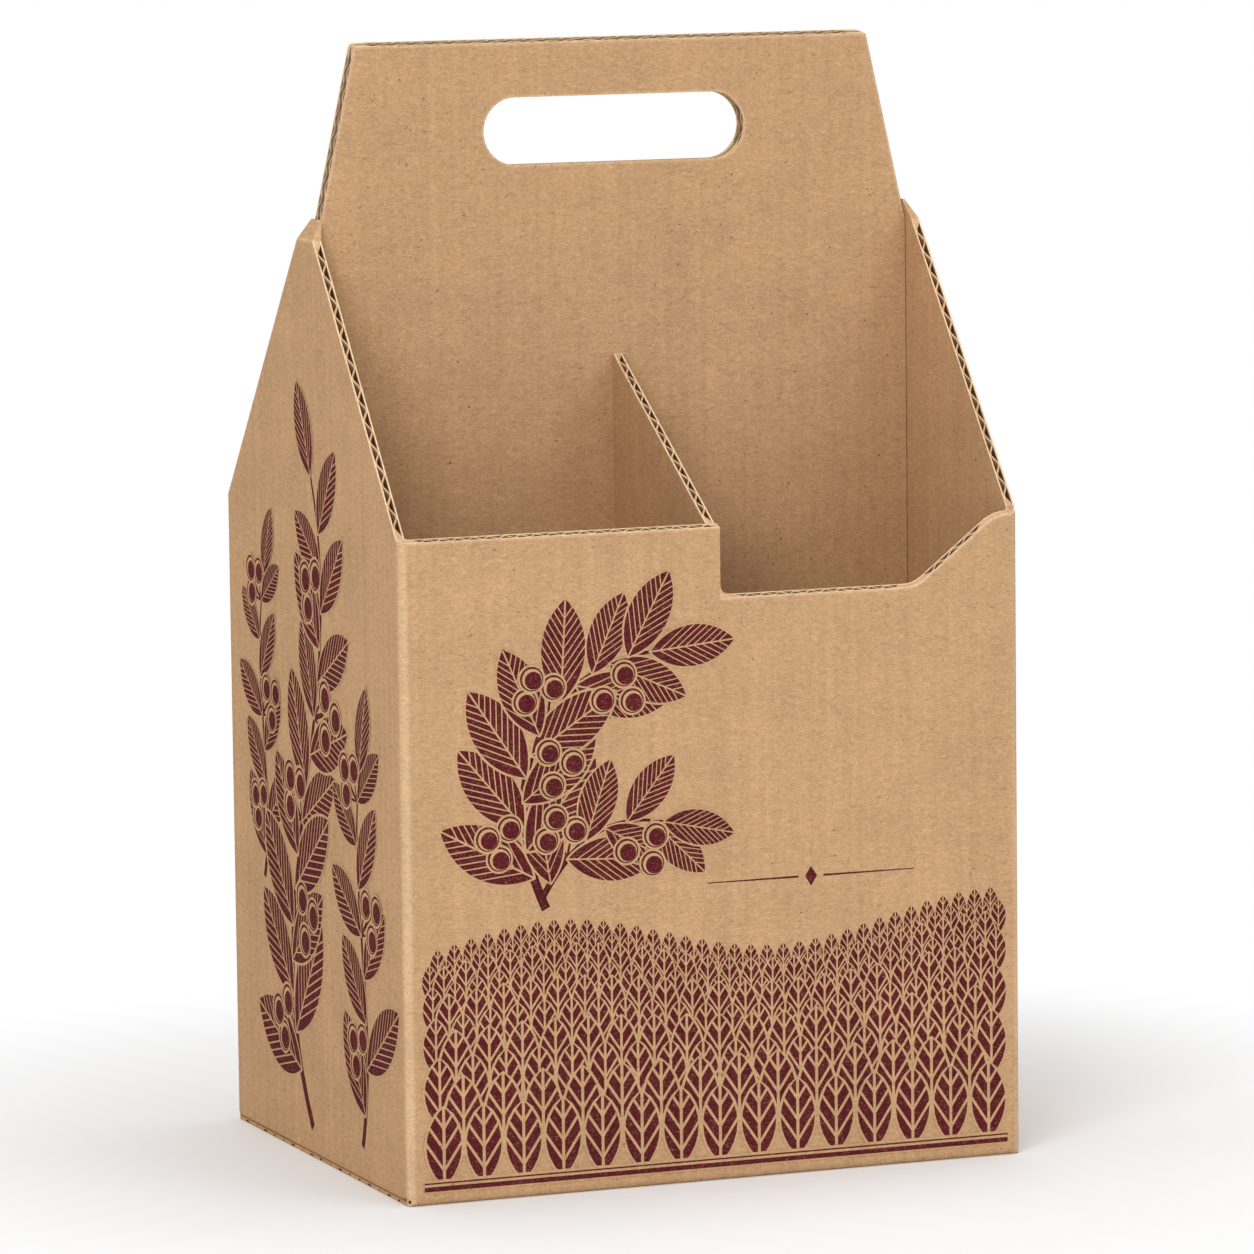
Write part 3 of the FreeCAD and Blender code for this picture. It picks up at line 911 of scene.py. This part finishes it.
def mirrored(half: Object, merge: bool) -> None:
    """Adds the other half of a leaf shape.

    Args:
        half: The upper half.
        merge: Whether the halves meet along the middle line.
    """
    select_only(half)
    other = half.modifiers.new("other_half", "MIRROR")
    other.use_axis = (False, True, False)
    other.use_mirror_merge = merge
    bpy.ops.object.modifier_apply(modifier=other.name)


@dataclass
class LeafPattern:
    """Long leaf with a bare midrib and bare slanting veins, on a rim of bare paper."""

    length: float = 34.0
    half_width: float = 7.8
    rib: float = 0.6
    veins: int = 8
    vein_gap: float = 0.4
    vein_angle: float = 34.0
    first_vein: float = 0.06
    vein_span: float = 0.8
    rim: int = 26
    halo: float = 0.8

    def slit(self, at: float) -> None:
        """Cuts one slanting vein out of the half leaf in edit mode.

        Args:
            at: Where the vein leaves the midrib.
        """
        angle = math.radians(self.vein_angle)
        normal = Vector((-math.sin(angle), math.cos(angle), 0.0))
        middle = Vector((at, 0.0, 0.0))
        half = self.vein_gap / 2.0
        for side in (-half, half):
            bpy.ops.mesh.select_all(action="SELECT")
            bpy.ops.mesh.bisect(plane_co=(middle + normal * side) * MM, plane_no=normal)
        bpy.ops.object.mode_set(mode="OBJECT")
        mesh = bpy.context.object.data
        for part in list(mesh.vertices) + list(mesh.edges) + list(mesh.polygons):
            part.select = False
        for face in mesh.polygons:
            face.select = abs((face.center / MM - middle).dot(normal)) < half
        bpy.ops.object.mode_set(mode="EDIT")
        bpy.ops.mesh.select_mode(type="FACE")
        bpy.ops.mesh.delete(type="FACE")
        bpy.ops.mesh.select_mode(type="VERT")

    def make(self, stock: PrintStock) -> Object:
        """Cuts the leaf with its base at the origin and its tip along X.

        Args:
            stock: The ink and the paper.

        Returns:
            The pattern object.
        """
        leaf = half_lens(self.length, self.half_width, 0.0, self.rib, self.rim)
        with edit_mode():
            for index in range(self.veins):
                share = self.first_vein + self.vein_span * (index + 0.5) / self.veins
                self.slit(self.length * share)
        mirrored(leaf, merge=False)
        thicken(leaf, stock.ink_layer, stock.paper_layer, stock.ink)
        rim = half_lens(self.length + 2.0 * self.halo, self.half_width + self.halo, -self.halo, 0.0, self.rim)
        mirrored(rim, merge=True)
        thicken(rim, stock.paper_layer, 0.0, stock.paper)
        return join_layers(leaf, rim)


@dataclass
class BerryPattern:
    """Round berry: a ring, a bare highlight inside its upper left and a full middle."""

    radius: float = 3.9
    ring: float = 0.86
    core: float = 0.72
    shift: float = 0.13
    rim: int = 24
    halo: float = 0.7

    def circle(self, share: float, shift: float, fill: str) -> Object:
        """Adds one circle of the berry.

        Args:
            share: Its radius against the berry's.
            shift: How far it sits to the lower right, against the berry's radius.
            fill: The circle's fill type.

        Returns:
            The object that the circle belongs to.
        """
        off = shift * self.radius * MM
        bpy.ops.mesh.primitive_circle_add(
            vertices=self.rim, radius=share * self.radius * MM, fill_type=fill, location=(off, -off, 0.0)
        )
        return bpy.context.object

    def make(self, stock: PrintStock) -> Object:
        """Makes the berry at the origin, with its highlight to the upper left.

        Args:
            stock: The ink and the paper.

        Returns:
            The pattern object.
        """
        bpy.ops.object.select_all(action="DESELECT")
        ring = self.circle(1.0, 0.0, "NOTHING")
        with edit_mode():
            self.circle(self.ring, self.shift * 0.3, "NOTHING")
            bpy.ops.mesh.select_all(action="SELECT")
            bpy.ops.mesh.bridge_edge_loops()
        thicken(ring, stock.ink_layer, stock.paper_layer, stock.ink)
        bpy.ops.object.select_all(action="DESELECT")
        core = self.circle(self.core, self.shift, "NGON")
        settle()
        thicken(core, stock.ink_layer, stock.paper_layer, stock.ink)
        bpy.ops.object.select_all(action="DESELECT")
        rim = self.circle(1.0 + self.halo / self.radius, 0.0, "NGON")
        thicken(rim, stock.paper_layer, 0.0, stock.paper)
        return join_layers(ring, core, rim)


@dataclass
class Stem:
    """Curved stem that thins to its tip."""

    start: tuple[float, float]
    leave: tuple[float, float]
    arrive: tuple[float, float]
    end: tuple[float, float]
    width: float = 2.2
    tip: float = 0.35
    steps: int = 28

    def points(self, count: int) -> list[Vector]:
        """Evenly numbered points along the stem.

        Args:
            count: The number of points.

        Returns:
            The points in millimetres on the drawing plane.
        """
        ends = [Vector((u, v, 0.0)) for u, v in (self.start, self.leave, self.arrive, self.end)]
        return interpolate_bezier(*ends, count)

    def make(self, stock: PrintStock) -> Object:
        """Draws the stem as a flat closed strip of ink.

        Args:
            stock: The ink and the paper.

        Returns:
            The stem's object.
        """
        bpy.ops.object.select_all(action="DESELECT")
        bpy.ops.curve.primitive_bezier_curve_add()
        stem = bpy.context.object
        first, last = stem.data.splines[0].bezier_points
        for point in (first, last):
            point.handle_left_type = point.handle_right_type = "FREE"
        first.co = first.handle_left = Vector((*self.start, 0.0)) * MM
        first.handle_right = Vector((*self.leave, 0.0)) * MM
        last.handle_left = Vector((*self.arrive, 0.0)) * MM
        last.co = last.handle_right = Vector((*self.end, 0.0)) * MM
        first.radius, last.radius = 1.0, self.tip
        stem.data.resolution_u = self.steps
        stem.data.bevel_depth = self.width / 2.0 * MM
        stem.data.bevel_resolution = 0
        stem.data.use_fill_caps = True
        bpy.ops.object.convert(target="MESH")
        stem = bpy.context.object
        stem.scale = (1.0, 1.0, stock.ink_layer / self.width)
        stem.location = (0.0, 0.0, stock.ink_layer / 2.0 * MM)
        settle()
        stem.data.materials.clear()
        stem.data.materials.append(stock.ink)
        return stem


@dataclass
class InkPiece:
    """One printed part of the design, gathered from copies of its patterns."""

    name: str
    wall: Wall
    stock: PrintStock
    parts: list[Object] = field(default_factory=list)

    def stamp(self, pattern: Object, u: float, v: float, turn: float, size: float, level: float) -> None:
        """Copies a pattern to a place on the wall.

        Args:
            pattern: The pattern object.
            u: Place along the wall in millimetres.
            v: Height in millimetres.
            turn: Turn in radians.
            size: Size against the pattern's.
            level: How many layers lie behind it.
        """
        copy = pattern.copy()
        copy.data = pattern.data.copy()
        bpy.context.collection.objects.link(copy)
        lift = (self.stock.ground + level * self.stock.step) * MM
        place = Matrix.Translation((u * MM, v * MM, lift)) @ Matrix.Rotation(turn, 4, "Z")
        spread = Matrix.Diagonal((size, size, 1.0, 1.0))
        copy.data.transform(self.wall.placing() @ place @ spread)
        self.parts.append(copy)

    def keep(self, drawn: Object, level: float = 0.0) -> None:
        """Puts an object of the drawing plane on the wall.

        Args:
            drawn: An object drawn in place.
            level: How many layers lie behind it.
        """
        lift = Matrix.Translation((0.0, 0.0, (self.stock.ground + level * self.stock.step) * MM))
        drawn.data.transform(self.wall.placing() @ lift)
        self.parts.append(drawn)

    def finish(self) -> None:
        """Joins the copies into one piece of the print."""
        piece = join_layers(*self.parts)
        piece.name = piece.data.name = self.name
        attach(piece, "root")
        LOG.info("%s: %d faces", piece.name, len(piece.data.polygons))


@dataclass
class Patterns:
    """The shapes that the print repeats."""

    leaf: Object
    scale_leaf: Object
    berry: Object
    twig: Object

    def clear(self) -> None:
        """Takes the patterns away once the print is made."""
        for pattern in (self.leaf, self.scale_leaf, self.berry, self.twig):
            remove(pattern)


@dataclass
class Spray:
    """Leafy branch with small groups of berries between its leaves."""

    stem: Stem
    leaves: int = 9
    leaf_size: tuple[float, float] = (1.0, 0.6)
    spread: float = 44.0
    berry_every: int = 3
    berry_size: float = 1.0
    twig: float = 11.0
    levels: int = 7
    base_level: float = 1.0
    steps: int = 200
    first_leaf: float = 0.08
    leaf_span: float = 0.84
    size_swing: float = 0.07
    turn_swing: float = 8.0
    group_turn: float = 62.0
    twig_swing: float = 0.08
    # Turn in radians and length against the twig's, for each berry of a group
    group: tuple[tuple[float, float], ...] = ((-0.62, 0.86), (0.5, 0.92), (-0.04, 1.36))

    def draw(self, piece: InkPiece, patterns: Patterns) -> None:
        """Draws the branch on a piece.

        Args:
            piece: The piece that it belongs to.
            patterns: The shapes that the print repeats.
        """
        fine = self.stem.points(self.steps + 1)
        piece.keep(self.stem.make(piece.stock), self.base_level)
        for index in range(self.leaves):
            share = self.first_leaf + self.leaf_span * index / max(self.leaves - 1, 1)
            spot = int(share * self.steps)
            at, ahead = fine[spot], fine[spot + 3] - fine[spot - 3]
            heading = math.atan2(ahead.y, ahead.x)
            # Sines of uneven steps vary the leaves the same way on each run
            size = self.leaf_size[0] + share * (self.leaf_size[1] - self.leaf_size[0])
            size *= 1.0 + self.size_swing * math.sin(index * 1.7)
            side = 1.0 if index % 2 == 0 else -1.0
            opening = math.radians(self.spread + self.turn_swing * math.sin(index * 2.3))
            level = self.base_level + 1.0 + index % self.levels
            piece.stamp(patterns.leaf, at.x, at.y, heading + side * opening, size, level)
            if index % self.berry_every == 1:
                self.berries(piece, patterns, at, heading - side * math.radians(self.group_turn), index)
        end, ahead = fine[-1], fine[-1] - fine[-7]
        size, level = self.leaf_size[1] * 1.05, self.base_level + self.levels + 1.0
        piece.stamp(patterns.leaf, end.x, end.y, math.atan2(ahead.y, ahead.x), size, level)

    def berries(self, piece: InkPiece, patterns: Patterns, at: Vector, heading: float, index: int) -> None:
        """Draws a group of twigs that each end in a berry.

        Args:
            piece: The piece that they belong to.
            patterns: The shapes that the print repeats.
            at: Where the twigs leave the stem.
            heading: The direction of the group.
            index: The number of the leaf beside it, which varies the group.
        """
        for number, (turn, share) in enumerate(self.group):
            reach = self.twig * share * (1.0 + self.twig_swing * math.sin(index * 3.1 + number))
            course = heading + turn
            piece.stamp(patterns.twig, at.x, at.y, course, reach / TWIG_LENGTH, self.base_level - 1.0)
            u, v = at.x + math.cos(course) * reach, at.y + math.sin(course) * reach
            level = self.base_level + self.levels + 2.0 + number
            piece.stamp(patterns.berry, u, v, 0.0, self.berry_size, level)


@dataclass
class LeafFrieze:
    """Band of upright leaves that overlap in rows like scales, finer towards its waving top."""

    left: float = -99.8
    right: float = 99.8
    bottom: float = 4.5
    row_length: tuple[float, float] = (25.0, 11.0)
    tiers: int = 5
    row_step: float = 0.38
    width_share: float = 0.5
    wave: float = 6.5
    wave_length: float = 150.0
    wave_start: float = -2.41
    bar: float = 1.5
    line: float = 0.5
    line_gap: float = 0.8
    bare_below: float = 0.6
    bare_above: float = 2.2
    end_round: float = 0.3

    def strip(self, piece: InkPiece, low: float, high: float, material: Material, level: float) -> None:
        """Draws a level bar with softly cut ends over the whole band.

        Args:
            piece: The piece that it belongs to.
            low: The bar's underside.
            high: The bar's top.
            material: The bar's material.
            level: How many layers lie behind it.
        """
        bpy.ops.object.select_all(action="DESELECT")
        middle = ((self.left + self.right) / 2.0 * MM, (low + high) / 2.0 * MM, 0.0)
        bpy.ops.mesh.primitive_plane_add(size=1.0, location=middle)
        bar = bpy.context.object
        bar.scale = ((self.right - self.left) * MM, (high - low) * MM, 1.0)
        settle()
        with edit_mode():
            bpy.ops.mesh.bevel(offset=(high - low) * self.end_round * MM, segments=3, affect="VERTICES")
        thicken(bar, piece.stock.paper_layer, 0.0, material)
        piece.keep(bar, level)

    def draw(self, piece: InkPiece, patterns: Patterns, pattern_length: float) -> None:
        """Draws tiers of two rows, each row behind the one below it, and the bars at the foot.

        Args:
            piece: The piece that it belongs to.
            patterns: The shapes that the print repeats.
            pattern_length: The length of the scale leaf's pattern.
        """
        low = self.bottom + self.bar
        rows = 2 * self.tiers
        for row in range(rows):
            share = (row // 2) / (self.tiers - 1)
            length = self.row_length[0] + share * (self.row_length[1] - self.row_length[0])
            count = int((self.right - self.left) / (length * self.width_share))
            pitch = (self.right - self.left) / count
            odd = row % 2
            for index in range(count - odd):
                u = self.left + (index + 0.5 + 0.5 * odd) * pitch
                swell = self.wave * share * math.sin(2.0 * math.pi * u / self.wave_length + self.wave_start)
                size = length / pattern_length
                level = rows - row + 0.5 * (index % 2)
                piece.stamp(patterns.scale_leaf, u, low + swell, math.pi / 2.0, size, level)
            low += length * self.row_step
        foot, stock = self.bottom, piece.stock
        self.strip(piece, foot - self.bare_below, foot + self.bar + self.bare_above, stock.paper, rows + 1)
        self.strip(piece, foot, foot + self.bar, stock.ink, rows + 2)
        inner = foot + self.bar + self.line_gap
        self.strip(piece, inner, inner + self.line, stock.ink, rows + 2)


@dataclass
class RuleLine:
    """Thin level rule with a small diamond at its middle."""

    middle: tuple[float, float] = (32.0, 95.5)
    half_length: float = 35.6
    thickness: float = 0.65
    diamond: float = 3.2
    diamond_width: float = 0.66
    diamond_reach: float = 0.7
    tip_round: float = 0.08
    gap: float = 2.0

    def draw(self, piece: InkPiece) -> None:
        """Draws both halves of the rule and the diamond.

        Args:
            piece: The piece that it belongs to.
        """
        u, v = self.middle
        for side in (-1.0, 1.0):
            inner = u + side * (self.diamond * self.diamond_reach + self.gap)
            outer = u + side * self.half_length
            third = (outer - inner) / 3.0
            course = ((inner, v), (inner + third, v), (outer - third, v), (outer, v))
            piece.keep(Stem(*course, width=self.thickness, tip=0.5).make(piece.stock))
        bpy.ops.object.select_all(action="DESELECT")
        bpy.ops.mesh.primitive_circle_add(vertices=4, radius=self.diamond * MM, fill_type="NGON")
        diamond = bpy.context.object
        diamond.scale = (self.diamond_width, 1.0, 1.0)
        diamond.location = (u * MM, v * MM, 0.0)
        settle()
        with edit_mode():
            bpy.ops.mesh.bevel(offset=self.diamond * self.tip_round * MM, segments=2, affect="VERTICES")
        thicken(diamond, piece.stock.ink_layer, 0.0, piece.stock.ink)
        piece.keep(diamond)


@dataclass
class Print:
    """The printed design on the front and left walls."""

    stock: PrintStock
    leaf: LeafPattern = field(default_factory=LeafPattern)
    scale_leaf: LeafPattern = field(
        default_factory=lambda: LeafPattern(
            length=20.0, half_width=4.7, rib=0.8, veins=3, vein_gap=0.7, rim=9, halo=0.75
        )
    )
    berry: BerryPattern = field(default_factory=BerryPattern)

    def front_sprays(self) -> list[Spray]:
        """The branches of the front wall, which rise from its lower left."""
        return [
            Spray(
                Stem((-58, 91), (-78, 134), (-54, 168), (-22, 170), width=3.0),
                leaves=13, leaf_size=(1.05, 0.8),
            ),
            Spray(
                Stem((-59, 95), (-48, 113), (-36, 120), (-18, 116), width=2.2),
                leaves=6, leaf_size=(0.88, 0.68), base_level=1.5,
            ),
        ]

    def left_sprays(self) -> list[Spray]:
        """The branches of the left wall, which stand upright."""
        return [
            Spray(
                Stem((-6, 10), (-62, 84), (38, 146), (2, 222), width=3.6),
                leaves=16, leaf_size=(1.35, 0.9), berry_size=1.3, twig=14.0,
            ),
            Spray(
                Stem((42, 12), (58, 56), (32, 92), (44, 132), width=2.8),
                leaves=8, leaf_size=(1.1, 0.8), berry_size=1.2, twig=12.0, base_level=1.5,
            ),
            Spray(
                Stem((-50, 86), (-37, 118), (-61, 148), (-46, 186), width=2.4),
                leaves=8, leaf_size=(0.92, 0.66), berry_size=1.1, base_level=1.5,
            ),
        ]

    def build(self) -> None:
        """Makes the patterns, prints every part and takes the patterns away."""
        twig = Stem((0, 0), (3.5, 0.7), (7, 0.7), (TWIG_LENGTH, 0), width=0.9, tip=0.7, steps=8)
        patterns = Patterns(
            self.leaf.make(self.stock), self.scale_leaf.make(self.stock),
            self.berry.make(self.stock), twig.make(self.stock),
        )
        front = InkPiece("ink_front_sprays", Wall.FRONT, self.stock)
        for spray in self.front_sprays():
            spray.draw(front, patterns)
        left = InkPiece("ink_left_sprays", Wall.LEFT, self.stock)
        for spray in self.left_sprays():
            spray.draw(left, patterns)
        frieze = InkPiece("ink_front_frieze", Wall.FRONT, self.stock)
        LeafFrieze().draw(frieze, patterns, self.scale_leaf.length)
        rule = InkPiece("ink_front_rule", Wall.FRONT, self.stock)
        RuleLine().draw(rule)
        for piece in (front, left, frieze, rule):
            piece.finish()
        patterns.clear()


@dataclass
class CarryBox:
    """The four boards of the frame and their finishes."""

    fibre: PaperFibre
    edge: CutEdge

    def dress(self) -> Material:
        """Gives each board of the frame its material.

        Returns:
            The outer sheet's material, which the print leaves bare between its lines.
        """
        outer_colours = BoardColours(face=(0.56, 0.345, 0.185, 1.0))
        panel_colours = BoardColours(face=(0.55, 0.335, 0.178, 1.0), middle=(0.68, 0.47, 0.28, 1.0))
        inner_colours = BoardColours(face=(0.52, 0.315, 0.165, 1.0))
        outer = OuterBoard("outer_kraft", outer_colours, self.fibre, self.edge)
        panel = PanelBoard("panel_kraft", panel_colours, self.fibre, self.edge)
        inner = DividerBoard("divider_kraft", inner_colours, self.fibre, self.edge)
        boards = {
            outer: ("outer_carton",),
            panel: ("handle_front_ply", "handle_rear_ply"),
            inner: ("cross_divider",),
        }
        materials = {finish.name: finish.material() for finish in boards}
        for finish, nodes in boards.items():
            for node in nodes:
                for place in bpy.data.objects[node].material_slots:
                    place.material = materials[finish.name]
                LOG.info("%s: %s", node, finish.name)
        return materials[outer.name]


@dataclass
class Studio:
    """Pale floor, white backdrop, soft lamps and the camera."""

    camera_place: tuple[float, float, float] = (-0.86508, -2.19796, 0.44997)
    yaw: float = 21.5627
    pitch: float = 6.8171
    roll: float = -0.6763
    lens: float = 210.35
    sensor: float = 36.0
    sight: float = 50.0
    floor_size: float = 8.0
    room_light: float = 0.36
    lamp_target: float = 0.16

    def aim(self) -> Matrix:
        """Direction of the camera.

        Returns:
            The camera's turn as a matrix.
        """
        yaw, pitch, roll = (math.radians(angle) for angle in (self.yaw, self.pitch, self.roll))
        ahead = Vector((math.sin(yaw) * math.cos(pitch), math.cos(yaw) * math.cos(pitch), -math.sin(pitch)))
        right = Vector((math.cos(yaw), -math.sin(yaw), 0.0))
        up = right.cross(ahead)
        level = right * math.cos(roll) + up * math.sin(roll)
        upright = up * math.cos(roll) - right * math.sin(roll)
        return Matrix((level, upright, -ahead)).transposed()

    def camera(self) -> None:
        """Adds the camera at the photograph's viewing angle."""
        bpy.ops.object.camera_add(location=self.camera_place, rotation=self.aim().to_euler())
        made = bpy.context.object
        made.name = "view_camera"
        made.data.lens = self.lens
        made.data.sensor_width = self.sensor
        made.data.clip_end = self.sight
        bpy.context.scene.camera = made

    def lamp(self, name: str, place: tuple[float, float, float], size: float, power: float) -> None:
        """Adds a soft lamp that faces the box.

        Args:
            name: The lamp's name.
            place: Where it hangs.
            size: The side of its square face.
            power: Its power in watts.
        """
        heading = Vector((0.0, 0.0, self.lamp_target)) - Vector(place)
        turn = heading.to_track_quat("-Z", "Y").to_euler()
        bpy.ops.object.light_add(type="AREA", location=place, rotation=turn)
        made = bpy.context.object
        made.name = name
        made.data.size = size
        made.data.energy = power

    def backdrop(self) -> None:
        """Lights the scene softly from all round and shows white behind the box."""
        world = bpy.data.worlds.new("soft_room")
        bpy.context.scene.world = world
        world.use_nodes = True
        bench = NodeBench(world.node_tree)
        sky = world.node_tree.nodes["Background"]
        rays = bench.node("ShaderNodeLightPath").outputs
        shown = bench.number("MAXIMUM", rays["Is Camera Ray"], rays["Is Glossy Ray"])
        shown = bench.number("MAXIMUM", shown, rays["Is Transmission Ray"])
        strength = bench.number("MULTIPLY_ADD", shown, 1.0 - self.room_light, self.room_light)
        sky.inputs["Color"].default_value = (1.0, 1.0, 1.0, 1.0)
        bench.feed(sky.inputs["Strength"], strength)

    def build(self) -> None:
        """Adds the floor, the backdrop, the lamps and the camera."""
        bpy.ops.object.select_all(action="DESELECT")
        bpy.ops.mesh.primitive_plane_add(size=self.floor_size, location=(0.0, 0.0, 0.0))
        floor = bpy.context.object
        floor.name = "studio_floor"
        floor.data.materials.append(FloorFinish().material())
        self.backdrop()
        self.lamp("key_lamp", (-1.7, -2.0, 1.7), size=1.4, power=42.0)
        self.lamp("fill_lamp", (1.6, -2.3, 1.2), size=1.6, power=15.0)
        self.lamp("top_lamp", (0.1, 0.1, 2.4), size=1.6, power=26.0)
        self.camera()
        bpy.context.scene.view_settings.view_transform = "Standard"
        LOG.info("studio ready")


def main() -> None:
    """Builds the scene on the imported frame."""
    logging.basicConfig(level=logging.INFO, format="%(name)s %(message)s")
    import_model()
    Studio().build()
    fibre, edge = PaperFibre(), CutEdge()
    paper = CarryBox(fibre, edge).dress()
    Print(PrintStock(InkFinish(fibre).material(), paper)).build()


if __name__ == "__main__":
    main()
